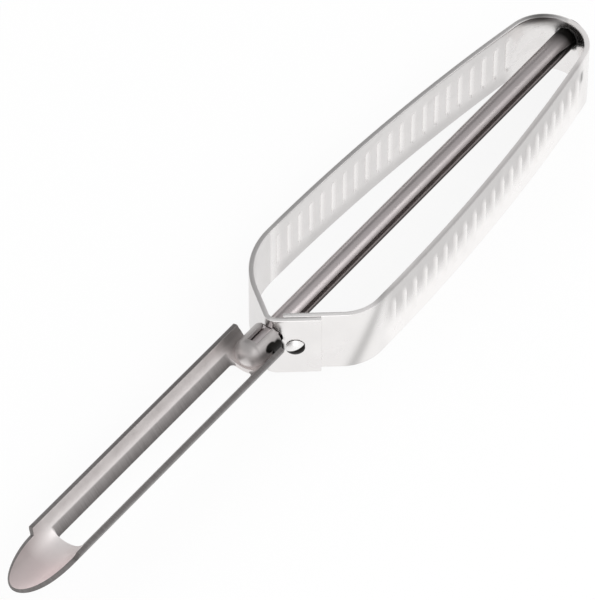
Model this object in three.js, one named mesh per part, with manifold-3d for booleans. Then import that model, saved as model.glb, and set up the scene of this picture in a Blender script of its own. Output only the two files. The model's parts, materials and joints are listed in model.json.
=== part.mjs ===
// Vegetable peeler: a ribbed steel strip bent on edge into a loop handle, and a slotted trough blade that swivels
// with a rolled shaft in two holes of the strip. Millimetres, +Z up. The peeler lies on the lower edge of its
// strip, with the blade towards -X and the open side of the trough up.
import * as THREE from 'three';
import { mergeVertices } from 'three/addons/utils/BufferGeometryUtils.js';
import Module from 'manifold-3d';

const wasm = await Module();
wasm.setup();

// Handle strip
const stripWidth = 13.2;
const stripThickness = 1.0;
const loopLength = 98.2;
const loopHalfWidth = 13.25;
const widestPlace = 18.5;
const bowRadius = 7.8;
const leftCornerRadius = 17.0;
const rightCornerRadius = 8.5;
const vertexRadius = 2.0;
const plateAngle = THREE.MathUtils.degToRad(52.5);

// Lapped ends of the strip, on the right front plate
const lapLength = 9.5;
const lapGap = 0.12;
const innerEndPlace = 2.6;

// Pressed ribs across both sides of the strip
const ribPitch = 3.4;
const ribWidth = 2.0;
const ribHeight = 0.5;
const ribLength = 9.0;
const ribEndMargin = 1.2;
const ribRoot = 0.25;
const grooveDepth = 0.35;

// Rivet through the lapped ends
const rivetPlace = 4.8;
const rivetShankRadius = 0.9;
const rivetHeadRadius = 1.75;
const rivetHeadHeight = 0.9;
const rivetTailRadius = 1.3;
const rivetTailHeight = 0.6;
const rivetClearance = 0.12;

// Shaft, a rolled tube with an open seam, whose axis lies above the middle of the strip's width
const shaftRadius = 2.2;
const shaftWall = 0.65;
const shaftOffset = 2.4;
const seamWidth = 1.5;
const seamAngle = THREE.MathUtils.degToRad(170);
const flareRadius = 3.0;
const flareLength = 0.9;
const swivelClearance = 0.3;
const endPlay = 0.3;

// Blade
const bladeLength = 72.0;
const bladeHalfWidth = 5.2;
const bladeDepth = 4.25;
const bladeThickness = 0.9;
const floorDrop = 1.72;
const slotToTip = 3.8;
const slotWidth = 4.5;
const slotCornerRadius = 0.9;
const tipLength = 11.2;
const tipRise = 2.2;
const shoulderStep = 0.5;
const shoulderLength = 0.4;

// Rolled barrel at the blade's root, which grips the shaft
const barrelNeck = 2.3;
const barrelGrip = 3.2;
const barrelWall = 0.85;
const barrelOpening = THREE.MathUtils.degToRad(40);
const gripClearance = 0.2;
const noseLength = 2.1;
const slotToBarrel = 2.2;

// Steps of the faceted round shapes
const arcStep = THREE.MathUtils.degToRad(11);
const sideSteps = 10;
const roundSides = 24;
const troughSteps = 12;
const slotCornerSteps = 2;
const domeSteps = 4;
const tipSteps = 8;
const ribSteps = 4;

// Points closer together than this are one point
const weldDistance = 1e-4;

// Everything is first drawn with the shaft's axis along X at y = z = 0 and the front plates' meeting point at x = 0.
const along = new THREE.Vector2(Math.cos(plateAngle), Math.sin(plateAngle));
const inward = new THREE.Vector2(Math.sin(plateAngle), -Math.cos(plateAngle));
const stripBottom = -stripWidth / 2 - shaftOffset;
const stripMiddle = stripBottom + stripWidth / 2;
const apexFace = vertexRadius / Math.sin(plateAngle) - vertexRadius - stripThickness / 2;
const bowFace = apexFace + loopLength;
const bowCentre = new THREE.Vector2(bowFace - stripThickness / 2 - bowRadius, 0);
const sideRun = bowCentre.x - widestPlace;
const sideRadius =
  (sideRun ** 2 + loopHalfWidth ** 2 - bowRadius ** 2) / (2 * (loopHalfWidth - bowRadius));
const sideCentre = new THREE.Vector2(widestPlace, loopHalfWidth - sideRadius);
const shaftHole = shaftRadius + swivelClearance;
const cutAllowance = 1.0;

// A closed mesh as a solid that can be joined and cut
function toSolid(geometry) {
  const plain = geometry.clone();
  plain.deleteAttribute('normal');
  plain.deleteAttribute('uv');
  const welded = mergeVertices(plain, weldDistance);
  const corners = welded.index.array;
  const triangles = [];
  for (let i = 0; i < corners.length; i += 3) {
    const [a, b, c] = [corners[i], corners[i + 1], corners[i + 2]];
    if (a !== b && b !== c && c !== a) triangles.push(a, b, c);
  }
  return new wasm.Manifold(new wasm.Mesh({
    numProp: 3,
    vertProperties: new Float32Array(welded.attributes.position.array),
    triVerts: new Uint32Array(triangles),
  }));
}

// A solid as a mesh with its name and material
function toMesh(solid, name, material) {
  const result = solid.getMesh();
  const geometry = new THREE.BufferGeometry();
  geometry.setAttribute('position', new THREE.BufferAttribute(result.vertProperties, 3));
  geometry.setIndex(new THREE.BufferAttribute(result.triVerts, 1));
  geometry.computeVertexNormals();
  const mesh = new THREE.Mesh(geometry, material);
  mesh.name = name;
  return mesh;
}

function steel(colour, roughness) {
  return new THREE.MeshStandardMaterial({ color: colour, roughness, metalness: 1 });
}

// A flat outline in the XY plane, made solid from one height to another
function prism(points, bottom, top) {
  const shape = new THREE.Shape(points);
  const geometry = new THREE.ExtrudeGeometry(shape, { depth: top - bottom, bevelEnabled: false });
  return geometry.translate(0, 0, bottom);
}

// A flat outline in the YZ plane, made solid from one x to another
function bar(points, from, to) {
  const geometry = prism(points, from, to);
  const axes = new THREE.Matrix4().makeBasis(
    new THREE.Vector3(0, 1, 0), new THREE.Vector3(0, 0, 1), new THREE.Vector3(1, 0, 0));
  return geometry.applyMatrix4(axes);
}

// A round bar along X
function roundBar(radius, from, to) {
  const geometry = new THREE.CylinderGeometry(radius, radius, to - from, roundSides);
  geometry.rotateZ(Math.PI / 2);
  return geometry.translate((from + to) / 2, 0, 0);
}

// Points of the strip's middle line, each with the direction that points out of the loop
function arcLine(centre, radius, from, to, steps) {
  const count = steps ?? Math.max(2, Math.ceil(Math.abs(to - from) / arcStep));
  return Array.from({ length: count + 1 }, (_, i) => {
    const angle = from + (to - from) * i / count;
    const out = new THREE.Vector2(Math.cos(angle), Math.sin(angle));
    return { place: out.clone().multiplyScalar(radius).add(centre), out };
  });
}

function straightLine(from, to, out) {
  return [{ place: from, out }, { place: to, out }];
}

const mirror = (v) => new THREE.Vector2(v.x, -v.y);

// Where a front plate, set in by some distance, runs through its rounded corner into the side
function corner(setIn, cornerRadius) {
  const reach = inward.clone().multiplyScalar(setIn + cornerRadius).sub(sideCentre);
  const lead = along.dot(reach);
  const span = sideRadius - cornerRadius;
  const run = -lead + Math.sqrt(lead ** 2 - reach.lengthSq() + span ** 2);
  const centre = along.clone().multiplyScalar(run).addScaledVector(inward, setIn + cornerRadius);
  const plateEnd = along.clone().multiplyScalar(run).addScaledVector(inward, setIn);
  const sideAngle = centre.clone().sub(sideCentre).angle();
  return { centre, plateEnd, sideAngle };
}

const plateOut = inward.clone().negate();
const plateOutAngle = plateOut.angle();
const leftCorner = corner(0, leftCornerRadius);
const rightSetIn = stripThickness + lapGap;
const rightCorner = corner(rightSetIn, rightCornerRadius);
const bowAngle = bowCentre.clone().sub(sideCentre).angle();

// The middle line from the lap's end round the front vertex, the left side, the bow and back along the right side
function stripLine() {
  const bendCentre = new THREE.Vector2(vertexRadius / Math.sin(plateAngle), 0);
  const bendRun = vertexRadius / Math.tan(plateAngle);
  const bendStart = along.clone().multiplyScalar(bendRun);
  const lapEnd = along.clone().multiplyScalar(lapLength);
  const innerEnd = along.clone().multiplyScalar(innerEndPlace).addScaledVector(inward, rightSetIn);
  return [
    ...straightLine(mirror(lapEnd), mirror(bendStart), mirror(plateOut)),
    ...arcLine(bendCentre, vertexRadius, 2 * Math.PI - plateOutAngle, plateOutAngle),
    ...straightLine(bendStart, leftCorner.plateEnd, plateOut),
    ...arcLine(leftCorner.centre, leftCornerRadius, plateOutAngle, leftCorner.sideAngle),
    ...arcLine(sideCentre, sideRadius, leftCorner.sideAngle, bowAngle, sideSteps),
    ...arcLine(bowCentre, bowRadius, bowAngle, -bowAngle),
    ...arcLine(mirror(sideCentre), sideRadius, -bowAngle, -rightCorner.sideAngle, sideSteps),
    ...arcLine(mirror(rightCorner.centre), rightCornerRadius, -rightCorner.sideAngle, -plateOutAngle),
    ...straightLine(mirror(rightCorner.plateEnd), mirror(innerEnd), mirror(plateOut)),
  ];
}

// The strip's outline, half its thickness to each side of the middle line, with no point twice
function stripOutline() {
  const line = stripLine();
  const half = stripThickness / 2;
  const outer = line.map(({ place, out }) => place.clone().addScaledVector(out, half));
  const inner = line.map(({ place, out }) => place.clone().addScaledVector(out, -half));
  const points = [...outer, ...inner.reverse()];
  return points.filter((p, i) => p.distanceTo(points.at(i - 1)) > weldDistance);
}

// A rib's round-backed section: x across the rib, y out of the strip, rooted below the strip's face
function ribSection(height) {
  const half = ribWidth / 2;
  const crown = Array.from({ length: ribSteps + 1 }, (_, i) => {
    const turn = Math.PI * i / ribSteps;
    return new THREE.Vector2(half * Math.cos(turn), height * Math.sin(turn));
  });
  return [new THREE.Vector2(-half, -ribRoot), new THREE.Vector2(half, -ribRoot), ...crown];
}

// A bar with a rib's section, on a side of the strip at an angle of the side's arc
function ribBar(height, faceRadius, angle, side, length) {
  const geometry = prism(ribSection(height), stripMiddle - length / 2, stripMiddle + length / 2);
  geometry.rotateZ(angle - Math.PI / 2);
  geometry.translate(
    sideCentre.x + faceRadius * Math.cos(angle), sideCentre.y + faceRadius * Math.sin(angle), 0);
  if (side > 0) return geometry;
  geometry.scale(1, -1, 1);
  return flipped(geometry);
}

// The same mesh with its faces turned the other way, for use after a mirroring
function flipped(geometry) {
  const whole = geometry.index ? geometry.toNonIndexed() : geometry;
  const place = whole.attributes.position;
  for (let i = 0; i < place.count; i += 3) {
    const second = new THREE.Vector3().fromBufferAttribute(place, i + 1);
    const third = new THREE.Vector3().fromBufferAttribute(place, i + 2);
    place.setXYZ(i + 1, third.x, third.y, third.z);
    place.setXYZ(i + 2, second.x, second.y, second.z);
  }
  return whole;
}

// Angles of a side's ribs, spread evenly between its front corner and the rear bow
function ribAngles(start) {
  const room = (start - bowAngle) * sideRadius - 2 * ribEndMargin - ribWidth;
  const count = Math.floor(room / ribPitch) + 1;
  const first = start - (ribEndMargin + ribWidth / 2 + (room - (count - 1) * ribPitch) / 2) / sideRadius;
  return Array.from({ length: count }, (_, i) => first - i * ribPitch / sideRadius);
}

// The rivet's axis: its place on the lapped plates and the direction out of the handle
const lapMiddle = mirror(along).multiplyScalar(rivetPlace);
const rivetOut = new THREE.Vector3(-inward.x, inward.y, 0);
const rivetOrigin = new THREE.Vector3(lapMiddle.x, lapMiddle.y, stripMiddle);

// Turns a lathe's axis from Y to the rivet's axis, with the outer plate's outer face at y = 0
function placeOnLap(geometry) {
  geometry.applyQuaternion(new THREE.Quaternion().setFromUnitVectors(new THREE.Vector3(0, 1, 0), rivetOut));
  const face = rivetOrigin.clone().addScaledVector(rivetOut, stripThickness / 2);
  return geometry.translate(face.x, face.y, face.z);
}

const gripLength = 2 * stripThickness + lapGap;

function makeHandleBand() {
  let band = toSolid(prism(stripOutline(), stripBottom, stripBottom + stripWidth));
  const grooveLength = ribLength - 2 * grooveDepth;
  for (const [side, front] of [[1, leftCorner], [-1, rightCorner]]) {
    for (const angle of ribAngles(front.sideAngle)) {
      const outerFace = sideRadius + stripThickness / 2;
      const innerFace = sideRadius - stripThickness / 2;
      band = band.add(toSolid(ribBar(ribHeight, outerFace, angle, side, ribLength)));
      band = band.subtract(toSolid(ribBar(grooveDepth, innerFace, angle, side, grooveLength)));
    }
  }
  const plateReach = shaftHole / Math.tan(plateAngle) + (rightSetIn + stripThickness) / Math.sin(plateAngle);
  const frontHole = roundBar(shaftHole, apexFace - cutAllowance, plateReach + cutAllowance);
  const rearHole = roundBar(shaftHole, bowCentre.x, bowFace + cutAllowance);
  const rivetRadius = rivetShankRadius + rivetClearance;
  const rivetHole = new THREE.CylinderGeometry(
    rivetRadius, rivetRadius, gripLength + 2 * cutAllowance, roundSides);
  rivetHole.translate(0, -gripLength / 2, 0);
  return band
    .subtract(toSolid(frontHole))
    .subtract(toSolid(rearHole))
    .subtract(toSolid(placeOnLap(rivetHole)));
}

// Half of a shallow round cap's outline, from its rim to its crown on the axis; a negative height points it back
function dome(radius, height, base) {
  const ball = (radius ** 2 + height ** 2) / (2 * height);
  const rimAngle = Math.asin(radius / Math.abs(ball));
  return Array.from({ length: domeSteps + 1 }, (_, i) => {
    const turn = rimAngle * (1 - i / domeSteps);
    return new THREE.Vector2(Math.abs(ball) * Math.sin(turn), base + height - ball * (1 - Math.cos(turn)));
  });
}

function makeLapRivet() {
  const headBase = rivetClearance;
  const tailBase = -gripLength - rivetClearance;
  const tail = dome(rivetTailRadius, -rivetTailHeight, tailBase).reverse();
  const head = dome(rivetHeadRadius, rivetHeadHeight, headBase);
  const profile = [
    ...tail,
    new THREE.Vector2(rivetShankRadius, tailBase),
    new THREE.Vector2(rivetShankRadius, headBase),
    ...head,
  ];
  return toSolid(placeOnLap(new THREE.LatheGeometry(profile, roundSides)));
}

const barrelEnd = apexFace - endPlay;
const bladeRoot = barrelEnd - barrelNeck;
const barrelStart = bladeRoot - barrelGrip;
const shaftFront = barrelStart + barrelWall;
const shaftRear = bowFace + endPlay + flareLength;

function makeBladeShaft() {
  const bore = shaftRadius - shaftWall;
  const profile = [
    new THREE.Vector2(bore, shaftFront),
    new THREE.Vector2(shaftRadius, shaftFront),
    new THREE.Vector2(shaftRadius, bowFace + endPlay),
    new THREE.Vector2(flareRadius, shaftRear),
    new THREE.Vector2(flareRadius - shaftWall, shaftRear),
    new THREE.Vector2(bore, bowFace + endPlay),
    new THREE.Vector2(bore, shaftFront),
  ];
  const tube = new THREE.LatheGeometry(profile, roundSides).rotateZ(-Math.PI / 2);
  const seamLength = shaftRear - shaftFront + 2 * cutAllowance;
  const seam = new THREE.BoxGeometry(seamLength, 2 * flareRadius, seamWidth);
  seam.translate((shaftFront + shaftRear) / 2, flareRadius, 0).rotateX(seamAngle);
  return toSolid(tube).subtract(toSolid(seam));
}

// The trough's section is a round arc, whose lowest point lies below the shaft's axis.
const troughRadius = (bladeHalfWidth ** 2 + bladeDepth ** 2) / (2 * bladeDepth);
const troughFloor = -floorDrop;
const bladeTip = bladeRoot - bladeLength;
const tipStart = bladeTip + tipLength;

// Sections of the trough from its root to its tip: place, half width and floor
function troughSections() {
  const tipHalfWidth = bladeHalfWidth - shoulderStep;
  const shareAt = (step) => Math.sin(Math.PI / 2 * step / tipSteps);
  const tip = Array.from({ length: tipSteps }, (_, i) => {
    const share = shareAt(i);
    return {
      x: tipStart - tipLength * share / shareAt(tipSteps - 1),
      halfWidth: tipHalfWidth * Math.sqrt(1 - share ** 2),
      floor: troughFloor + tipRise * share ** 2,
    };
  });
  return [
    { x: bladeRoot, halfWidth: bladeHalfWidth - shoulderStep, floor: troughFloor },
    { x: bladeRoot - shoulderLength, halfWidth: bladeHalfWidth, floor: troughFloor },
    { x: tipStart + shoulderLength, halfWidth: bladeHalfWidth, floor: troughFloor },
    ...tip,
  ];
}

// One section's closed outline: the inner face from right to left, then the outer face back
function troughRing({ x, halfWidth, floor }) {
  const half = Math.asin(halfWidth / troughRadius);
  const centre = floor + troughRadius;
  const face = (radius) => Array.from({ length: troughSteps + 1 }, (_, i) => {
    const angle = -half + 2 * half * i / troughSteps;
    return new THREE.Vector3(x, radius * Math.sin(angle), centre - radius * Math.cos(angle));
  });
  return [
    ...face(troughRadius - bladeThickness / 2),
    ...face(troughRadius + bladeThickness / 2).reverse(),
  ];
}

// A closed skin through rings of equal length, with its two ends filled
function loft(rings) {
  const count = rings[0].length;
  const corners = [];
  for (let ring = 0; ring + 1 < rings.length; ring += 1) {
    for (let i = 0; i < count; i += 1) {
      const a = ring * count + i;
      const b = ring * count + (i + 1) % count;
      corners.push(a, b, a + count, b, b + count, a + count);
    }
  }
  const last = (rings.length - 1) * count;
  for (let i = 0; i + 1 < count / 2; i += 1) {
    const j = count - 1 - i;
    corners.push(i, j, i + 1, i + 1, j, j - 1);
    corners.push(last + i, last + i + 1, last + j, last + i + 1, last + j - 1, last + j);
  }
  const geometry = new THREE.BufferGeometry().setFromPoints(rings.flat());
  geometry.setIndex(corners);
  return geometry;
}

// A rectangle with round corners, from one x to another, about y = 0
function roundedSlot(from, to, width, radius) {
  const half = width / 2;
  const shape = new THREE.Shape();
  shape.moveTo(from + radius, -half);
  shape.absarc(to - radius, -half + radius, radius, -Math.PI / 2, 0);
  shape.absarc(to - radius, half - radius, radius, 0, Math.PI / 2);
  shape.absarc(from + radius, half - radius, radius, Math.PI / 2, Math.PI);
  shape.absarc(from + radius, -half + radius, radius, Math.PI, 1.5 * Math.PI);
  return shape.getPoints(slotCornerSteps).slice(0, -1);
}

// The barrel's section: a ring round the shaft, open at the top
function barrelSection() {
  const inner = shaftRadius + gripClearance;
  const outer = inner + barrelWall;
  const from = Math.PI / 2 + barrelOpening / 2;
  const to = 2.5 * Math.PI - barrelOpening / 2;
  const face = (radius) => Array.from({ length: roundSides + 1 }, (_, i) => {
    const angle = from + (to - from) * i / roundSides;
    return new THREE.Vector2(radius * Math.cos(angle), radius * Math.sin(angle));
  });
  return [...face(outer), ...face(inner).reverse()];
}

// The barrel's closed front end: a cap as wide as the barrel, in front of the shaft's end
function barrelNose() {
  const outer = shaftRadius + gripClearance + barrelWall;
  const back = shaftFront - gripClearance;
  const profile = [
    ...dome(outer, -noseLength, barrelStart).reverse(),
    new THREE.Vector2(outer, back),
    new THREE.Vector2(0, back),
  ];
  return new THREE.LatheGeometry(profile, roundSides).rotateZ(-Math.PI / 2);
}

function makeBlade() {
  const trough = toSolid(loft(troughSections().map(troughRing)));
  const slotEnd = barrelStart - slotToBarrel;
  const outline = roundedSlot(tipStart + slotToTip, slotEnd, slotWidth, slotCornerRadius);
  const slot = prism(outline, troughFloor - bladeThickness - cutAllowance, troughFloor + bladeDepth);
  const barrel = bar(barrelSection(), barrelStart, barrelEnd);
  const nose = toSolid(barrelNose());
  const bore = roundBar(shaftRadius + gripClearance, shaftFront - gripClearance, barrelEnd + cutAllowance);
  return trough.subtract(toSolid(slot)).subtract(toSolid(bore)).add(toSolid(barrel)).add(nose);
}

const peeler = new THREE.Group();
peeler.name = 'vegetable_peeler';
peeler.add(toMesh(makeHandleBand(), 'handle_band', steel(0xdcdcdb, 0.25)));
peeler.add(toMesh(makeLapRivet(), 'lap_rivet', steel(0xcfcfce, 0.3)));
peeler.add(toMesh(makeBladeShaft(), 'blade_shaft', steel(0x6e6967, 0.3)));
peeler.add(toMesh(makeBlade(), 'blade', steel(0x9a9392, 0.4)));

// The origin lies on the resting surface, midway between the blade's tip and the shaft's rear end.
peeler.position.set(-(bladeTip + shaftRear) / 2, 0, -stripBottom);

export default peeler;
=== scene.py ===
# Looks of the vegetable peeler: the ribbed loop handle, its rivet, the rolled shaft and the slotted blade.
import json
import math
from collections import namedtuple

import bmesh
import bpy
from mathutils import Matrix, Vector


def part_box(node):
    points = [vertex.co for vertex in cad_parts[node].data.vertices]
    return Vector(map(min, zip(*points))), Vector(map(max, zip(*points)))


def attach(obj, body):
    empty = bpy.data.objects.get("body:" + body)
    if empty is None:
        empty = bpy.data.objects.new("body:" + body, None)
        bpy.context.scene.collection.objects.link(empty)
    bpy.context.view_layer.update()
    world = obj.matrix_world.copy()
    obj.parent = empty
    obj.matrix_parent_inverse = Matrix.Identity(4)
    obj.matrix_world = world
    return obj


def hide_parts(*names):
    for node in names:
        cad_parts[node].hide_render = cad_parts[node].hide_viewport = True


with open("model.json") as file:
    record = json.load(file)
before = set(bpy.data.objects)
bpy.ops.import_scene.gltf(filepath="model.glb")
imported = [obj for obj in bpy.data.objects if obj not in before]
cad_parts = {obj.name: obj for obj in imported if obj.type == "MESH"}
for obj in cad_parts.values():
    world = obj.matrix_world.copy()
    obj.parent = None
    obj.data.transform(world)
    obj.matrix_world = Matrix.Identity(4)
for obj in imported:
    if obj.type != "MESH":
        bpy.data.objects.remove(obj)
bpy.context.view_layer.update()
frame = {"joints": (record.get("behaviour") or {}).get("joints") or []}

# Sizes are millimetres. The shapes are drawn with the shaft's axis along X at y = z = 0 and the front plates'
# meeting point at x = 0, and FRAME_SHIFT takes them to the shared frame.
MM = 0.001

# Sizes that the frame gives
band_low, band_high = (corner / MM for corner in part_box("handle_band"))
blade_low, _ = (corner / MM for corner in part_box("blade"))
shaft_low, shaft_high = (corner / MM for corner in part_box("blade_shaft"))
swivel_axis = Vector(frame["joints"][0]["pos_m"]) / MM
STRIP_WIDTH = band_high.z - band_low.z
LOOP_LENGTH = band_high.x - band_low.x

# Handle strip
STRIP_THICKNESS = 1.0
STRIP_EDGE_ROUNDING = 0.12
LOOP_HALF_WIDTH = 13.25
WIDEST_PLACE = 18.5
BOW_RADIUS = 7.8
LEFT_CORNER_RADIUS = 17.0
RIGHT_CORNER_RADIUS = 8.5
VERTEX_RADIUS = 2.0
PLATE_ANGLE = math.radians(52.5)
LAP_LENGTH = 9.5
LAP_GAP = 0.12
INNER_END_PLACE = 2.6

# Ribs pressed out of the strip
RIB_PITCH = 3.4
RIB_WIDTH = 2.0
RIB_HEIGHT = 0.5
RIB_LENGTH = 9.0
RIB_END_MARGIN = 1.2
RIB_END_FADE = 1.6
RIBBED_FADE = 4.0

# Rivet through the lapped ends
RIVET_PLACE = 4.8
RIVET_SHANK_RADIUS = 0.9
RIVET_HEAD_RADIUS = 1.75
RIVET_HEAD_HEIGHT = 0.9
RIVET_RIM_HEIGHT = 0.12
RIVET_TAIL_RADIUS = 1.3
RIVET_TAIL_HEIGHT = 0.6
RIVET_CLEARANCE = 0.12

# Shaft
SHAFT_RADIUS = 2.2
SHAFT_WALL = 0.65
SHAFT_LIP_ROUNDING = 0.2
SEAM_WIDTH = 1.5
REAR_SEAM_WIDTH = 0.3
SEAM_CLOSING_LENGTH = 7.0
SEAM_CLOSED_LENGTH = 2.0
SEAM_ANGLE = math.radians(170)
FLARE_RADIUS = 3.0
FLARE_LENGTH = 0.9
FLARE_POWER = 1.3
SWIVEL_CLEARANCE = 0.15
END_PLAY = 0.3

# Blade
BLADE_LENGTH = 72.0
BLADE_HALF_WIDTH = 5.2
BLADE_DEPTH = 4.25
BLADE_THICKNESS = 0.9
BLADE_EDGE_ROUNDING = 0.1
FLOOR_DROP = 1.72
TIP_LENGTH = 11.2
TIP_RISE = 2.2
SHOULDER_STEP = 0.5
SHOULDER_LENGTH = 0.4
SLOT_WIDTH = 4.5
SLOT_CORNER_RADIUS = 0.9
SLOT_TO_TIP = 3.8
SLOT_TO_BARREL = 2.2
GROUND_WIDTH = 1.3
GROUND_LAND = 0.15
GROUND_OVERCUT = 0.08
BARREL_NECK = 2.3
BARREL_GRIP = 3.2
BARREL_WALL = 0.85
BARREL_OPENING = math.radians(40)
GRIP_CLEARANCE = 0.2
NOSE_LENGTH = 2.1

# Fineness of the meshes
RIB_STEP = 0.17
PATH_STEP = 0.5
STRIP_HEIGHT_STEPS = 36
EDGE_STEPS = 3
TROUGH_STEPS = 44
SHADED_RIM_POINTS = 6
TUBE_STEPS = 56
SEAM_SHADE_POINTS = 7
LENGTH_STEP = 0.6
TIP_STEPS = 30
CORNER_STEPS = 6
ROUND_STEPS = 64
DOME_STEPS = 10
CROWN_RADIUS = 0.02
FLARE_STEPS = 8
END_ROUNDING_SHARE = 0.9
TIP_END_DEPTH = 0.1
TIP_END_INSET = 0.5
ROOT_END_DEPTH = 0.4
SHARP_ANGLE = math.radians(32)

# Reach of the cutters past what they cut
CUT_ALLOWANCE = 1.0
FRONT_HOLE_END = 8.0
REAR_HOLE_DEPTH = 4.0
RIVET_HOLE_INWARD = 3.0
RIVET_HOLE_OUTWARD = 2.0
SLOT_CUT_DEPTH = 3.0

# Places along the shaft's axis
SIN_PLATE = math.sin(PLATE_ANGLE)
COS_PLATE = math.cos(PLATE_ANGLE)
APEX_FACE = VERTEX_RADIUS / SIN_PLATE - VERTEX_RADIUS - STRIP_THICKNESS / 2
BOW_FACE = APEX_FACE + LOOP_LENGTH
FLARE_START = BOW_FACE + END_PLAY
FRAME_SHIFT = Vector((band_low.x - APEX_FACE, 0, swivel_axis.z))
STRIP_BOTTOM = band_low.z - swivel_axis.z
STRIP_MIDDLE = STRIP_BOTTOM + STRIP_WIDTH / 2
STRIP_TOP = STRIP_BOTTOM + STRIP_WIDTH
SHAFT_FRONT = shaft_low.x - FRAME_SHIFT.x
SHAFT_REAR = shaft_high.x - FRAME_SHIFT.x
BLADE_TIP = blade_low.x - FRAME_SHIFT.x
BLADE_ROOT = BLADE_TIP + BLADE_LENGTH
BARREL_END = BLADE_ROOT + BARREL_NECK
BARREL_START = BLADE_ROOT - BARREL_GRIP
TIP_START = BLADE_TIP + TIP_LENGTH
SLOT_FROM = TIP_START + SLOT_TO_TIP
SLOT_TO = BARREL_START - SLOT_TO_BARREL
TROUGH_RADIUS = (BLADE_HALF_WIDTH ** 2 + BLADE_DEPTH ** 2) / (2 * BLADE_DEPTH)
RIVET_OUT = Vector((-SIN_PLATE, -COS_PLATE, 0))
RIVET_ORIGIN = Vector((RIVET_PLACE * COS_PLATE, -RIVET_PLACE * SIN_PLATE, STRIP_MIDDLE))


def in_frame(point):
    return (point + FRAME_SHIFT) * MM


def ease(value, low, high):
    """0 at low, 1 at high, smooth between; low may be the larger."""
    share = min(1.0, max(0.0, (value - low) / (high - low)))
    return share * share * (3 - 2 * share)


# Mesh helpers

def sheet_ring(middle, half, rounding):
    """Closed outline of a bent sheet with rounded edges: middle holds (point, normal) from edge to edge."""
    def side(sign):
        (first, first_normal), (last, last_normal) = middle[0], middle[-1]
        first_out = (first - middle[1][0]).normalized()
        last_out = (last - middle[-2][0]).normalized()
        turns = [math.pi / 2 * k / EDGE_STEPS for k in range(1, EDGE_STEPS + 1)]

        def edge(point, normal, outward, turn):
            facing = normal * sign
            return (point + facing * (half - rounding)
                    + (facing * math.cos(turn) + outward * math.sin(turn)) * rounding)

        return ([edge(first, first_normal, first_out, turn) for turn in reversed(turns)]
                + [point + normal * sign * half for point, normal in middle]
                + [edge(last, last_normal, last_out, turn) for turn in turns])
    return side(1) + side(-1)[::-1]


def end_insets(rounding):
    """(distance from the end, inset) of the extra rings that round a swept sheet's end."""
    turns = [math.pi / 2 * k / EDGE_STEPS for k in range(EDGE_STEPS, 0, -1)]
    return [(rounding * (1 - math.sin(turn)), rounding * (1 - math.cos(turn))) for turn in turns]


def skin(name, rings, **marks):
    """A closed mesh through rings of equal length, its ends filled; marks are values kept at its points."""
    count = len(rings[0])
    last = (len(rings) - 1) * count
    faces = []
    for start in range(0, last, count):
        for k in range(count):
            after = (k + 1) % count
            faces.append((start + k, start + after, start + count + after, start + count + k))
    for k in range(count // 2 - 1):
        opposite = count - 1 - k
        faces.append((k, opposite, opposite - 1, k + 1))
        faces.append((last + k, last + k + 1, last + opposite - 1, last + opposite))
    mesh = bpy.data.meshes.new(name)
    mesh.from_pydata([in_frame(point) for ring in rings for point in ring], [], faces)
    for mark, values in marks.items():
        mesh.attributes.new(mark, "FLOAT", "POINT").data.foreach_set("value", values)
    shape = bmesh.new()
    shape.from_mesh(mesh)
    bmesh.ops.recalc_face_normals(shape, faces=shape.faces)
    shape.to_mesh(mesh)
    shape.free()
    piece = bpy.data.objects.new(name, mesh)
    bpy.context.scene.collection.objects.link(piece)
    return piece


def combine(piece, other, operation):
    """Cuts the other solid out of the piece, or joins it on, and deletes it."""
    change = piece.modifiers.new(operation.lower(), "BOOLEAN")
    change.operation = operation
    change.solver = "EXACT"
    change.object = other
    graph = bpy.context.evaluated_depsgraph_get()
    shaped = bpy.data.meshes.new_from_object(piece.evaluated_get(graph))
    piece.modifiers.clear()
    piece.data = shaped
    bpy.data.objects.remove(other)


def circle_turns():
    return [2 * math.pi * k / ROUND_STEPS for k in range(ROUND_STEPS)]


def circle(centre, across, up, radius):
    return [centre + (across * math.cos(turn) + up * math.sin(turn)) * radius for turn in circle_turns()]


def drill(name, start, end, radius):
    """A round bar that is used as a cutter."""
    axis = (end - start).normalized()
    across = axis.orthogonal().normalized()
    up = axis.cross(across)
    return skin(name, [circle(start, across, up, radius), circle(end, across, up, radius)])


def dress(piece, body, node, material):
    """Smooth shading, the material, and the piece's place in the frame."""
    piece.data.materials.clear()
    piece.data.materials.append(material)
    piece.data.shade_smooth()
    piece.data.set_sharp_from_angle(angle=SHARP_ANGLE)
    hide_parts(node)
    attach(piece, body)


# Handle band

Station = namedtuple("Station", "place out rib ribbed")


def flat(x, y):
    return Vector((x, y, 0))


def mirrored(vector):
    return Vector((vector.x, -vector.y, vector.z))


along_plate = flat(COS_PLATE, SIN_PLATE)
into_loop = flat(SIN_PLATE, -COS_PLATE)
bow_centre = flat(BOW_FACE - STRIP_THICKNESS / 2 - BOW_RADIUS, 0)
side_run = bow_centre.x - WIDEST_PLACE
side_radius = ((side_run ** 2 + LOOP_HALF_WIDTH ** 2 - BOW_RADIUS ** 2)
               / (2 * (LOOP_HALF_WIDTH - BOW_RADIUS)))
side_centre = flat(WIDEST_PLACE, LOOP_HALF_WIDTH - side_radius)


def heading(vector):
    return math.atan2(vector.y, vector.x)


def plate_corner(set_in, radius):
    """Centre of the rounded corner, the plate's end and the side's first angle."""
    reach = into_loop * (set_in + radius) - side_centre
    lead = along_plate.dot(reach)
    run = -lead + math.sqrt(lead ** 2 - reach.length_squared + (side_radius - radius) ** 2)
    centre = along_plate * run + into_loop * (set_in + radius)
    return centre, along_plate * run + into_loop * set_in, heading(centre - side_centre)


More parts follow.
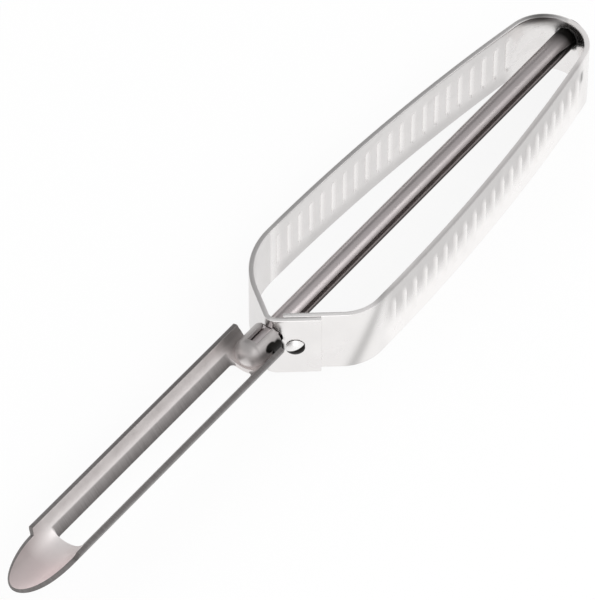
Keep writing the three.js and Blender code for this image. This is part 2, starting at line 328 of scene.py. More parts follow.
def rib_angles(start, end):
    """Angles of a side's ribs, spread evenly between its front corner and the bow."""
    room = (start - end) * side_radius - 2 * RIB_END_MARGIN - RIB_WIDTH
    count = int(room / RIB_PITCH) + 1
    first = start - (RIB_END_MARGIN + RIB_WIDTH / 2 + (room - (count - 1) * RIB_PITCH) / 2) / side_radius
    return [first - i * RIB_PITCH / side_radius for i in range(count)]


def arc_stations(centre, radius, start, end, step=PATH_STEP, ribs=()):
    count = max(4, math.ceil(abs(end - start) * radius / step))
    stations = []
    for i in range(count + 1):
        angle = start + (end - start) * i / count
        out = flat(math.cos(angle), math.sin(angle))
        rib = 0.0
        for place in ribs:
            offset = abs(abs(angle) - place) * radius
            if offset < RIB_WIDTH / 2:
                rib = (1 + math.cos(2 * math.pi * offset / RIB_WIDTH)) / 2
        from_end = min(i, count - i) / count * abs(end - start) * radius
        ribbed = ease(from_end, 0, RIBBED_FADE) if ribs else 0.0
        stations.append(Station(centre + out * radius, out, rib, ribbed))
    return stations


def straight_stations(start, end, out):
    count = max(2, math.ceil((end - start).length / PATH_STEP))
    return [Station(start.lerp(end, i / count), out, 0.0, 0.0) for i in range(count + 1)]


def strip_stations():
    """The strip's middle line, from the lap's end by the vertex, the left side and the bow to the right."""
    plate_out = -into_loop
    plate_angle = heading(plate_out)
    right_set_in = STRIP_THICKNESS + LAP_GAP
    left_centre, left_end, left_angle = plate_corner(0, LEFT_CORNER_RADIUS)
    right_centre, right_end, right_angle = plate_corner(right_set_in, RIGHT_CORNER_RADIUS)
    bow_angle = heading(bow_centre - side_centre)
    bend_centre = flat(VERTEX_RADIUS / SIN_PLATE, 0)
    bend_start = along_plate * (VERTEX_RADIUS / math.tan(PLATE_ANGLE))
    lap_end = along_plate * LAP_LENGTH
    inner_end = along_plate * INNER_END_PLACE + into_loop * right_set_in
    pieces = [
        straight_stations(mirrored(lap_end), mirrored(bend_start), mirrored(plate_out)),
        arc_stations(bend_centre, VERTEX_RADIUS, -plate_angle + 2 * math.pi, plate_angle, RIB_STEP),
        straight_stations(bend_start, left_end, plate_out),
        arc_stations(left_centre, LEFT_CORNER_RADIUS, plate_angle, left_angle),
        arc_stations(side_centre, side_radius, left_angle, bow_angle, RIB_STEP,
                     rib_angles(left_angle, bow_angle)),
        arc_stations(bow_centre, BOW_RADIUS, bow_angle, -bow_angle),
        arc_stations(mirrored(side_centre), side_radius, -bow_angle, -right_angle, RIB_STEP,
                     rib_angles(right_angle, bow_angle)),
        arc_stations(mirrored(right_centre), RIGHT_CORNER_RADIUS, -right_angle, -plate_angle),
        straight_stations(mirrored(right_end), mirrored(inner_end), mirrored(plate_out)),
    ]
    line = pieces[0]
    for piece in pieces[1:]:
        line = line + piece[1:]
    return line


def rib_fade(height):
    """How much of a rib's full height stands at a height on the strip."""
    reach = abs(height - STRIP_MIDDLE)
    return ease(reach, RIB_LENGTH / 2, RIB_LENGTH / 2 - RIB_END_FADE)


def strip_ring(station, inset=0.0):
    half_run = STRIP_WIDTH / 2 - STRIP_EDGE_ROUNDING
    middle = []
    for k in range(STRIP_HEIGHT_STEPS + 1):
        height = STRIP_MIDDLE + (half_run - inset) * (2 * k / STRIP_HEIGHT_STEPS - 1)
        swell = RIB_HEIGHT * station.rib * rib_fade(height)
        middle.append((station.place + station.out * swell + Vector((0, 0, height)), station.out))
    return sheet_ring(middle, STRIP_THICKNESS / 2 - inset, STRIP_EDGE_ROUNDING - inset)


# How bright the plating's colour is, from dark at 0 to bright at 1, and where it changes: the plain plates'
# tone, painted light on the ribs and painted shade between them, the outer face painted darker above and
# lighter below, and the inner face painted darker at its foot
PLATE_TONE = 0.75
LEFT_PLATE_TONE = 0.4
RIB_LIGHT = 0.95
OUTER_SHADED_HEIGHT = STRIP_MIDDLE + 2.5
OUTER_LIT_HEIGHT = STRIP_MIDDLE - 3.5
INNER_FOOT_TONE = 0.05
INNER_TONE_GAIN = 0.38
INNER_SHADED_HEIGHT = STRIP_BOTTOM + 1.0
INNER_LIT_HEIGHT = STRIP_BOTTOM + 4.0

# Painted shade: along the right bend, a painted shadow tick on the right side near the bow, and on the bow's
# upper edge
BEND_PLACE = 18.75
BEND_LEAN = 0.394
BEND_WIDTH = 1.3
BEND_DEPTH = 0.48
SHADOW_TICK_PLACE = BOW_FACE - 8.6
SHADOW_TICK_WIDTH = 0.55
SHADOW_TICK_MIDDLE = 0.2
SHADOW_TICK_REACH = 1.3
SHADOW_TICK_DEPTH = 1.0
BOW_SHADE_PLACE = Vector((BOW_FACE - 2.6, 5.0, 0))
BOW_SHADE_REACH = 3.8
BOW_SHADE_LOW = STRIP_TOP - 1.6
BOW_SHADE_HIGH = STRIP_TOP - 0.6


def strip_polish(station, ring):
    """How bright the plating is painted at each point of a ring: painted light on the ribs, painted shade
    between them and up and down the faces.
    """
    values = []
    half = len(ring) // 2
    for k, point in enumerate(ring):
        if k < half:
            ground = ease(point.z, OUTER_SHADED_HEIGHT, OUTER_LIT_HEIGHT)
        else:
            rise = ease(point.z, INNER_SHADED_HEIGHT, INNER_LIT_HEIGHT)
            ground = INNER_FOOT_TONE + INNER_TONE_GAIN * rise
        side = ground + (RIB_LIGHT - ground) * station.rib * rib_fade(point.z)
        plate = LEFT_PLATE_TONE if 0 < point.y and point.x < WIDEST_PLACE else PLATE_TONE
        values.append(plate + (side - plate) * station.ribbed)
    return values


def satin_edge(ring):
    """How matt the cut edge is: the right side's upper edge was left satin."""
    rim = STRIP_TOP - STRIP_EDGE_ROUNDING
    return [ease(point.x, RIGHT_CORNER_RADIUS, WIDEST_PLACE) if point.y < 0 and point.z > rim else 0.0
            for point in ring]


def bend_shade(ring):
    """How much painted shade each point of a ring gets, at the right bend, the shadow tick and the bow's
    upper edge.
    """
    values = []
    for point in ring:
        if point.y < 0:
            place = point.x * COS_PLATE - point.y * SIN_PLATE
            offset = (place - BEND_PLACE - BEND_LEAN * point.z) / BEND_WIDTH
            mark = ((point.x - SHADOW_TICK_PLACE) / SHADOW_TICK_WIDTH) ** 2
            mark += ((point.z - SHADOW_TICK_MIDDLE) / SHADOW_TICK_REACH) ** 4
            values.append(max(BEND_DEPTH * math.exp(-offset ** 2), SHADOW_TICK_DEPTH * math.exp(-mark)))
        else:
            offset = (Vector((point.x, point.y, 0)) - BOW_SHADE_PLACE).length / BOW_SHADE_REACH
            values.append(math.exp(-offset ** 2) * ease(point.z, BOW_SHADE_LOW, BOW_SHADE_HIGH))
    return values


def make_handle_band(material):
    line = strip_stations()
    rings = []
    polish = []
    shade = []
    satin = []

    def add(station, inset=0.0):
        ring = strip_ring(station, inset)
        rings.append(ring)
        polish.extend(strip_polish(station, ring))
        shade.extend(bend_shade(ring))
        satin.extend(satin_edge(ring))

    insets = end_insets(STRIP_EDGE_ROUNDING * END_ROUNDING_SHARE)
    for distance, inset in insets:
        step = (line[1].place - line[0].place).normalized()
        add(line[0]._replace(place=line[0].place + step * distance), inset)
    for station in line[1:-1]:
        add(station)
    for distance, inset in reversed(insets):
        step = (line[-2].place - line[-1].place).normalized()
        add(line[-1]._replace(place=line[-1].place + step * distance), inset)

    band = skin("ribbed_band", rings, polish=polish, bend_shade=shade, satin=satin)
    hole = SHAFT_RADIUS + SWIVEL_CLEARANCE
    front = flat(APEX_FACE - CUT_ALLOWANCE, 0)
    combine(band, drill("front_hole", front, flat(FRONT_HOLE_END, 0), hole), "DIFFERENCE")
    rear = flat(BOW_FACE + CUT_ALLOWANCE, 0)
    combine(band, drill("rear_hole", flat(BOW_FACE - REAR_HOLE_DEPTH, 0), rear, hole), "DIFFERENCE")
    inner = RIVET_ORIGIN - RIVET_OUT * RIVET_HOLE_INWARD
    outer = RIVET_ORIGIN + RIVET_OUT * RIVET_HOLE_OUTWARD
    rivet_hole = RIVET_SHANK_RADIUS + RIVET_CLEARANCE
    combine(band, drill("rivet_hole", inner, outer, rivet_hole), "DIFFERENCE")
    dress(band, "handle", "handle_band", material)


# Rivet

def dome_profile(radius, height, rim, base, sign):
    """(radius, place) of a round cap, from its foot over its low rim to its crown."""
    rise = height - rim
    ball = (radius ** 2 + rise ** 2) / (2 * rise)
    rim_angle = math.asin(radius / ball)
    profile = [(radius, base)]
    for k in range(DOME_STEPS + 1):
        turn = rim_angle * (1 - k / DOME_STEPS)
        profile.append((max(ball * math.sin(turn), CROWN_RADIUS),
                        base + sign * (height - ball * (1 - math.cos(turn)))))
    return profile


# Which way down the painted shadow on the rivet's head lies, and where across it begins and is full, in
# shares of the head's radius
RIVET_SHADE_TURN = math.radians(245)
RIVET_SHADE_FROM = -0.25
RIVET_SHADE_FULL = 0.08


def make_lap_rivet(material):
    face = STRIP_THICKNESS / 2
    grip = 2 * STRIP_THICKNESS + LAP_GAP
    head_base = face + RIVET_CLEARANCE
    tail_base = face - grip - RIVET_CLEARANCE
    head = dome_profile(RIVET_HEAD_RADIUS, RIVET_HEAD_HEIGHT, RIVET_RIM_HEIGHT, head_base, 1)
    tail = dome_profile(RIVET_TAIL_RADIUS, RIVET_TAIL_HEIGHT, RIVET_RIM_HEIGHT, tail_base, -1)
    profile = tail[::-1] + [(RIVET_SHANK_RADIUS, tail_base), (RIVET_SHANK_RADIUS, head_base)] + head
    up = Vector((0, 0, 1))
    across = RIVET_OUT.cross(up)
    rings = [circle(RIVET_ORIGIN + RIVET_OUT * place, across, up, radius) for radius, place in profile]
    # Painted shadow on the head's lower side.
    dirt = []
    for radius, _ in profile:
        share = radius / RIVET_HEAD_RADIUS
        dirt += [ease(math.cos(turn - RIVET_SHADE_TURN) * share, RIVET_SHADE_FROM, RIVET_SHADE_FULL) for turn in circle_turns()]
    rivet = skin("domed_rivet", rings, dirt=dirt)
    dress(rivet, "handle", "lap_rivet", material)


# Shaft

def shaft_radius_at(x):
    """Outer radius of the shaft, which curls out behind the bow."""
    share = max(0.0, (x - FLARE_START) / FLARE_LENGTH)
    return SHAFT_RADIUS + (FLARE_RADIUS - SHAFT_RADIUS) * share ** FLARE_POWER


def shaft_ring(x, inset=0.0):
    radius = shaft_radius_at(x) - SHAFT_WALL / 2
    closed = ease(x, BOW_FACE - SEAM_CLOSING_LENGTH, BOW_FACE - SEAM_CLOSED_LENGTH)
    seam = SEAM_WIDTH + (REAR_SEAM_WIDTH - SEAM_WIDTH) * closed
    gap = (seam / 2 + SHAFT_LIP_ROUNDING + inset) / radius
    middle = []
    for k in range(TUBE_STEPS + 1):
        angle = SEAM_ANGLE + gap + (2 * math.pi - 2 * gap) * k / TUBE_STEPS
        normal = Vector((0, math.cos(angle), math.sin(angle)))
        middle.append((Vector((x, 0, 0)) + normal * radius, normal))
    return sheet_ring(middle, SHAFT_WALL / 2 - inset, SHAFT_LIP_ROUNDING - inset)


def spread(start, end, step):
    count = math.ceil((end - start) / step)
    return [start + (end - start) * k / count for k in range(count + 1)]


def make_blade_shaft(material):
    insets = end_insets(SHAFT_LIP_ROUNDING * END_ROUNDING_SHARE)
    places = (spread(SHAFT_FRONT + SHAFT_LIP_ROUNDING, FLARE_START, 2 * LENGTH_STEP)[:-1]
              + spread(FLARE_START, SHAFT_REAR - SHAFT_LIP_ROUNDING, FLARE_LENGTH / FLARE_STEPS))
    rings = [shaft_ring(SHAFT_FRONT + distance, inset) for distance, inset in insets]
    rings += [shaft_ring(x) for x in places]
    rings += [shaft_ring(SHAFT_REAR - distance, inset) for distance, inset in reversed(insets)]
    half = len(rings[0]) // 2
    inside = ([0.0] * half + [1.0] * half) * len(rings)
    # Painted shade along the seam's lip.
    lip = ([1.0] * SEAM_SHADE_POINTS + [0.0] * (2 * half - SEAM_SHADE_POINTS)) * len(rings)
    shaft = skin("rolled_shaft", rings, inside=inside, lip=lip)
    dress(shaft, "blade_unit", "blade_shaft", material)


# Blade

def trough_ring(x, half_width, floor, inset=0.0):
    half_angle = math.asin(half_width / TROUGH_RADIUS) - (BLADE_EDGE_ROUNDING + inset) / TROUGH_RADIUS
    centre = Vector((x, 0, floor + TROUGH_RADIUS))
    middle = []
    for k in range(TROUGH_STEPS + 1):
        angle = half_angle * (2 * k / TROUGH_STEPS - 1)
        normal = Vector((0, math.sin(angle), -math.cos(angle)))
        middle.append((centre + normal * TROUGH_RADIUS, normal))
    return sheet_ring(middle, BLADE_THICKNESS / 2 - inset, BLADE_EDGE_ROUNDING - inset)


def trough_rings():
    floor = -FLOOR_DROP
    narrow = BLADE_HALF_WIDTH - SHOULDER_STEP
    insets = end_insets(BLADE_EDGE_ROUNDING * END_ROUNDING_SHARE)
    rings = []
    tip_shares = [math.sin(math.pi / 2 * k / TIP_STEPS) for k in range(TIP_STEPS)]
    tip = [(TIP_START - TIP_LENGTH * share / tip_shares[-1], narrow * math.sqrt(1 - share ** 2),
            floor + TIP_RISE * share ** 2) for share in tip_shares]
    last_x, last_width, last_floor = tip[-1]
    for distance, inset in insets:
        rings.append(trough_ring(last_x + distance * TIP_END_DEPTH, last_width, last_floor,
                                 inset * TIP_END_INSET))
    rings += [trough_ring(*place) for place in reversed(tip[:-1])]
    for k in range(1, EDGE_STEPS + 2):
        share = k / (EDGE_STEPS + 1)
        width = narrow + SHOULDER_STEP * ease(share, 0, 1)
        rings.append(trough_ring(TIP_START + SHOULDER_LENGTH * share, width, floor))
    straight = spread(TIP_START + SHOULDER_LENGTH, BLADE_ROOT - SHOULDER_LENGTH, LENGTH_STEP)
    rings += [trough_ring(x, BLADE_HALF_WIDTH, floor) for x in straight[1:]]
    for k in range(1, EDGE_STEPS + 1):
        share = k / (EDGE_STEPS + 1)
        width = BLADE_HALF_WIDTH - SHOULDER_STEP * ease(share, 0, 1)
        rings.append(trough_ring(BLADE_ROOT - SHOULDER_LENGTH * (1 - share), width, floor))
    for distance, inset in reversed(insets):
        rings.append(trough_ring(BLADE_ROOT - distance * ROOT_END_DEPTH, narrow, floor, inset))
    return rings


def rounded_slot(half_width, height):
    """Outline of the slot at a height, with round corners."""
    corners = ((SLOT_TO, -1, -90), (SLOT_TO, 1, 0), (SLOT_FROM, 1, 90), (SLOT_FROM, -1, 180))
    points = []
    for end, side, start in corners:
        inner = end - SLOT_CORNER_RADIUS if end == SLOT_TO else end + SLOT_CORNER_RADIUS
        for k in range(CORNER_STEPS + 1):
            turn = math.radians(start + 90 * k / CORNER_STEPS)
            y = side * (half_width - SLOT_CORNER_RADIUS) + SLOT_CORNER_RADIUS * math.sin(turn)
            points.append(Vector((inner + SLOT_CORNER_RADIUS * math.cos(turn), y, height)))
    return points


def slot_cutter():
    """Cuts the slot straight through and grinds its two long edges to a slope on the upper face."""
    half = SLOT_WIDTH / 2
    middle = TROUGH_RADIUS - FLOOR_DROP
    inner = TROUGH_RADIUS - BLADE_THICKNESS / 2
    outer = TROUGH_RADIUS + BLADE_THICKNESS / 2
    edge = middle - math.sqrt(outer ** 2 - half ** 2) + GROUND_LAND
    crest = middle - math.sqrt(inner ** 2 - (half + GROUND_WIDTH) ** 2)
    rise = crest - edge + GROUND_OVERCUT
    spread_out = GROUND_WIDTH * rise / (crest - edge)
    low = rounded_slot(half, edge - SLOT_CUT_DEPTH)
    return skin("slot_cutter", [low, rounded_slot(half, edge), rounded_slot(half + spread_out, edge + rise)])


def barrel_ring(x, inset=0.0):
    radius = SHAFT_RADIUS + GRIP_CLEARANCE + BARREL_WALL / 2
    opening = BARREL_OPENING / 2 + (BLADE_EDGE_ROUNDING + inset) / radius
    start = math.pi / 2 + opening
    end = 2.5 * math.pi - opening
    middle = []
    for k in range(TUBE_STEPS + 1):
        angle = start + (end - start) * k / TUBE_STEPS
        normal = Vector((0, math.cos(angle), math.sin(angle)))
        middle.append((Vector((x, 0, 0)) + normal * radius, normal))
    return sheet_ring(middle, BARREL_WALL / 2 - inset, BLADE_EDGE_ROUNDING - inset)


def barrel_nose():
    """The cap that closes the barrel in front of the shaft."""
    radius = SHAFT_RADIUS + GRIP_CLEARANCE + BARREL_WALL
    rim = SHAFT_FRONT - GRIP_CLEARANCE - BARREL_START
    profile = dome_profile(radius, rim + NOSE_LENGTH, rim, BARREL_START + rim, -1)
    across = Vector((0, 1, 0))
    up = Vector((0, 0, 1))
    return skin("barrel_nose", [circle(flat(x, 0), across, up, ring_radius) for ring_radius, x in profile])


def clear_barrel_rim(mesh):
    """Takes the painted shade of the rim off the barrel and its nose, which joining them on leaves with stray
    marks.
    """
    reach = SHAFT_RADIUS + GRIP_CLEARANCE + BARREL_WALL + BLADE_EDGE_ROUNDING
    for vertex, mark in zip(mesh.vertices, mesh.attributes["rim"].data):
        place = vertex.co / MM - FRAME_SHIFT
        if place.x > SLOT_TO and math.hypot(place.y, place.z) < reach:
            mark.value = 0.0


def make_blade(material):
    rings = trough_rings()
    half = len(rings[0]) // 2
    # The rim mark: painted shade on the blade's rounded edges, a band past them on the outer face, and the
    # tip's end.
    inner_rim = [1.0] * EDGE_STEPS + [0.0] * (half - 2 * EDGE_STEPS) + [1.0] * EDGE_STEPS
    dark = EDGE_STEPS + SHADED_RIM_POINTS
    outer_rim = [1.0] * dark + [0.0] * (half - 2 * dark) + [1.0] * dark
    tip_end = [1.0] * (2 * half * EDGE_STEPS)
    sides = (outer_rim + inner_rim) * (len(rings) - EDGE_STEPS)
    blade = skin("slotted_blade", rings, rim=tip_end + sides)
    combine(blade, slot_cutter(), "DIFFERENCE")
    bore_radius = SHAFT_RADIUS + GRIP_CLEARANCE
    bore_front = flat(SHAFT_FRONT - GRIP_CLEARANCE, 0)
    bore_rear = flat(BARREL_END + CUT_ALLOWANCE, 0)
    combine(blade, drill("bore", bore_front, bore_rear, bore_radius), "DIFFERENCE")
    insets = end_insets(BLADE_EDGE_ROUNDING * END_ROUNDING_SHARE)
    rings = [barrel_ring(BARREL_START + distance, inset) for distance, inset in insets]
    rings += [barrel_ring(x) for x in spread(BARREL_START + BLADE_EDGE_ROUNDING,
                                             BARREL_END - BLADE_EDGE_ROUNDING, LENGTH_STEP)]
    rings += [barrel_ring(BARREL_END - distance, inset) for distance, inset in reversed(insets)]
    combine(blade, skin("barrel", rings), "UNION")
    combine(blade, barrel_nose(), "UNION")
    clear_barrel_rim(blade.data)
    dress(blade, "blade_unit", "blade", material)


# Shader helpers

def add_node(tree, kind, inputs=None, **settings):
    """A node with its settings, and its inputs set to values or linked to other nodes' outputs."""
    made = tree.nodes.new(kind)
    for name, value in settings.items():
        setattr(made, name, value)
    for name, value in (inputs or {}).items():
        if isinstance(value, bpy.types.NodeSocket):
            tree.links.new(value, made.inputs[name])
        else:
            made.inputs[name].default_value = value
    return made


def math_node(tree, operation, first, second=0.0, clamp=False):
    made = add_node(tree, "ShaderNodeMath", {0: first, 1: second}, operation=operation, use_clamp=clamp)
    return made.outputs[0]


def remap(tree, value, low, high, to_low, to_high):
    made = add_node(tree, "ShaderNodeMapRange", {
        "Value": value, "From Min": low, "From Max": high, "To Min": to_low, "To Max": to_high})
    return made.outputs["Result"]


def mix_colour(tree, share, first, second, blend_type="MIX"):
    made = add_node(tree, "ShaderNodeMix", {0: share, 6: first, 7: second},
                    data_type="RGBA", blend_type=blend_type)
    return made.outputs[2]


def new_group(name, inputs, outputs):
    """An empty shader node group with its sockets, and its input and output nodes."""
    group = bpy.data.node_groups.new(name, "ShaderNodeTree")
    for socket, (kind, value) in inputs.items():
        made = group.interface.new_socket(socket, in_out="INPUT", socket_type=kind)
        made.default_value = value
    for socket in outputs:
        group.interface.new_socket(socket, in_out="OUTPUT", socket_type="NodeSocketFloat")
    return group, group.nodes.new("NodeGroupInput").outputs, group.nodes.new("NodeGroupOutput").inputs


def place_group(tree, group, **inputs):
    made = tree.nodes.new("ShaderNodeGroup")
    made.node_tree = group
    for name, value in inputs.items():
        socket = made.inputs[name.replace("_", " ")]
        if isinstance(value, bpy.types.NodeSocket):
            tree.links.new(value, socket)
        else:
            socket.default_value = value
    return made.outputs


def drawn_lines_group():
    """Fine lines left by drawing or grinding; the stretch is how many there are to a metre on each axis."""
    group, given, result = new_group("drawn_lines", {
        "Place": ("NodeSocketVector", (0, 0, 0)),
        "Stretch": ("NodeSocketVector", (50, 2500, 2500)),
    }, ["Lines"])
    stretched = add_node(group, "ShaderNodeVectorMath", {0: given["Place"], 1: given["Stretch"]},
                         operation="MULTIPLY").outputs[0]
    lines = add_node(group, "ShaderNodeTexNoise", {"Vector": stretched, "Scale": 1.0, "Detail": 3.0,
                                                   "Roughness": 0.6})
    group.links.new(lines.outputs[0], result["Lines"])
    return group


def handling_group():
    """Cloudy tone of handled plating, and thin stray scratches."""
    group, given, result = new_group("handling", {
        "Place": ("NodeSocketVector", (0, 0, 0)),
        "Cloud Scale": ("NodeSocketFloat", 120.0),
        "Scratch Scale": ("NodeSocketFloat", 260.0),
    }, ["Cloud", "Scratches"])
    cloud = add_node(group, "ShaderNodeTexNoise", {"Vector": given["Place"], "Scale": given["Cloud Scale"],
                                                   "Detail": 4.0, "Roughness": 0.55})
    group.links.new(cloud.outputs[0], result["Cloud"])
    turned = add_node(group, "ShaderNodeVectorRotate", {"Vector": given["Place"], "Angle": 0.7,
                                                        "Axis": (0.4, 0.5, 0.77)}).outputs[0]
    stretched = add_node(group, "ShaderNodeVectorMath", {0: turned, 1: (0.08, 1.0, 1.0)},
                         operation="MULTIPLY").outputs[0]
    strokes = add_node(group, "ShaderNodeTexNoise", {"Vector": stretched, "Scale": given["Scratch Scale"],
                                                     "Detail": 2.0})
    thin = remap(group, strokes.outputs[0], 0.64, 0.70, 0.0, 1.0)
    group.links.new(thin, result["Scratches"])
    return group


def painted_shadow_group():
    """Painted shadow round a bearing: full inside an ellipsoid about the centre, ragged at its rim."""
    group, given, result = new_group("bearing_shadow", {
        "Place": ("NodeSocketVector", (0, 0, 0)),
        "Centre": ("NodeSocketVector", (0, 0, 0)),
        "Reach": ("NodeSocketVector", (0.002, 0.002, 0.002)),
        "Ragged": ("NodeSocketFloat", 0.35),
    }, ["Mask"])
    offset = add_node(group, "ShaderNodeVectorMath", {0: given["Place"], 1: given["Centre"]},
                      operation="SUBTRACT").outputs[0]
    share = add_node(group, "ShaderNodeVectorMath", {0: offset, 1: given["Reach"]},
                     operation="DIVIDE").outputs[0]
    distance = add_node(group, "ShaderNodeVectorMath", {0: share}, operation="LENGTH").outputs["Value"]
    noise = add_node(group, "ShaderNodeTexNoise", {"Vector": given["Place"], "Scale": 900.0, "Detail": 3.0})
    swing = math_node(group, "MULTIPLY", math_node(group, "SUBTRACT", noise.outputs[0], 0.5), given["Ragged"])
    mask = remap(group, math_node(group, "ADD", distance, swing), 1.0, 0.75, 0.0, 1.0)
    group.links.new(mask, result["Mask"])
    return group


drawn_lines = drawn_lines_group()
handling = handling_group()
bearing_shadow = painted_shadow_group()


def new_material(name):
    material = bpy.data.materials.new(name)
    material.use_nodes = True
    tree = material.node_tree
    shader = tree.nodes["Principled BSDF"]
    place = tree.nodes.new("ShaderNodeTexCoord").outputs["Object"]
    return material, tree, shader, place


def add_bump(tree, shader, height, strength, distance):
    bump = add_node(tree, "ShaderNodeBump", {"Height": height, "Strength": strength, "Distance": distance})
    tree.links.new(bump.outputs["Normal"], shader.inputs["Normal"])


def attribute(tree, name):
    return add_node(tree, "ShaderNodeAttribute", attribute_name=name).outputs["Fac"]


# Colour of the painted shadows: the black spots by the bearings, the rivet's lower side and the shaft's end.
PAINTED_SHADOW_COLOUR = (0.012, 0.011, 0.010, 1)

# Painted shadow spots, each a centre and a reach in drawn millimetres: on the band by the front hole and
# round the shaft's end inside the bow, on the shaft by the vertex, and on the barrel's neck
BAND_SHADOW_SPOTS = [((0.9, -1.3, -2.4), (1.5, 1.5, 2.4)), ((BOW_FACE - 1.3, -0.6, 0.3), (1.1, 2.7, 2.8))]
SHAFT_SHADOW_SPOTS = [((1.0, 0, -0.6), (1.6, 2.6, 2.6))]
BARREL_SHADOW_SPOTS = [((-1.6, -3.1, 0.3), (1.9, 1.3, 1.9)), ((-3.2, -2.8, 1.5), (1.6, 1.1, 0.9))]

# Painted shadow on the shaft's black end by the bow: distances in front of the bow's face where it begins and
# is full, and the bare flare behind the bow
BLACK_END_FROM = 9.0
BLACK_END_FULL = 2.5
BARE_FLARE_FROM = -0.4
BARE_FLARE_FULL = 0.3

# Painted light and shade on the blade: across the tip, pale on its right and dark on its left, and at the
# root, which is painted pale below and dark above
TIP_PALE_SIDE = -2.0
TIP_DARK_SIDE = 3.0
TIP_TONE_FULL = TIP_START - 3
ROOT_TONE_FROM = SLOT_TO - 2.5
ROOT_TONE_FULL = SLOT_TO + 1.0
ROOT_PALE_HEIGHT = -0.8
ROOT_DARK_HEIGHT = 1.3
ROOT_PALE_SHARE = 0.1
ROOT_DARK_SHARE = 0.75
GROUND_SIDE_BLUR = 0.1
GROUND_END_OVER = 0.05
GROUND_END_FADE = 0.4


def run_at(x):
    """The frame's X, in metres, of a place along the shaft's axis."""
    return in_frame(flat(x, 0)).x


def painted_shadow_spots(tree, place, spots):
    """The darkest of several painted shadow spots, each a centre and a reach in drawn millimetres."""
    mask = None
    for centre, reach in spots:
        spot = place_group(tree, bearing_shadow, Place=place, Centre=in_frame(Vector(centre)),
                           Reach=Vector(reach) * MM)["Mask"]
        mask = spot if mask is None else math_node(tree, "MAXIMUM", mask, spot)
    return mask


def handle_steel():
    material, tree, shader, place = new_material("handle_steel")
    polish = attribute(tree, "polish")
    worn = place_group(tree, handling, Place=place, Cloud_Scale=140.0, Scratch_Scale=320.0)
    lines = place_group(tree, drawn_lines, Place=place, Stretch=(60, 60, 2600))["Lines"]
    # Painted light and shade on the ribs and faces, with a cloudy tone that differs at random.
    tone = math_node(tree, "ADD", polish, remap(tree, worn["Cloud"], 0.3, 0.7, -0.08, 0.08), clamp=True)
    colour = mix_colour(tree, tone, (0.62, 0.605, 0.60, 1), (0.96, 0.94, 0.93, 1))
    # Painted shade at the right bend, the shadow tick and the bow's upper edge.
    shade = math_node(tree, "MULTIPLY", attribute(tree, "bend_shade"), 0.85)
    colour = mix_colour(tree, shade, colour, (0.12, 0.118, 0.115, 1))
    # Painted shadow spots by the front hole and round the shaft's end inside the bow.
    painted_shadow = painted_shadow_spots(tree, place, BAND_SHADOW_SPOTS)
    colour = mix_colour(tree, painted_shadow, colour, PAINTED_SHADOW_COLOUR)
    tree.links.new(colour, shader.inputs["Base Color"])
    rough = math_node(tree, "ADD", remap(tree, tone, 0.0, 1.0, 0.36, 0.2),
                      math_node(tree, "MULTIPLY", worn["Scratches"], 0.1))
    rough = math_node(tree, "ADD", rough, math_node(tree, "MULTIPLY", painted_shadow, 0.35))
    rough = math_node(tree, "ADD", rough, math_node(tree, "MULTIPLY", attribute(tree, "satin"), 0.5))
    tree.links.new(rough, shader.inputs["Roughness"])
    height = math_node(tree, "SUBTRACT", lines, math_node(tree, "MULTIPLY", worn["Scratches"], 0.5))
    add_bump(tree, shader, height, 0.05, 0.00006)
    shader.inputs["Metallic"].default_value = 1.0
    return material


def rivet_steel():
    material, tree, shader, place = new_material("rivet_steel")
    worn = place_group(tree, handling, Place=place, Cloud_Scale=700.0, Scratch_Scale=900.0)
    colour = mix_colour(tree, worn["Cloud"], (0.88, 0.87, 0.86, 1), (0.96, 0.95, 0.94, 1))
    # Painted shadow on the lower side of the head, ragged by the cloud.
    ragged = math_node(tree, "ADD", attribute(tree, "dirt"), math_node(tree, "MULTIPLY", worn["Cloud"], 0.3))
    dirt = remap(tree, ragged, 0.6, 0.9, 0.0, 1.0)
    colour = mix_colour(tree, dirt, colour, PAINTED_SHADOW_COLOUR)
    tree.links.new(colour, shader.inputs["Base Color"])
    tree.links.new(remap(tree, worn["Cloud"], 0.3, 0.7, 0.4, 0.5), shader.inputs["Roughness"])
    add_bump(tree, shader, worn["Scratches"], 0.15, 0.00004)
    shader.inputs["Metallic"].default_value = 1.0
    return material


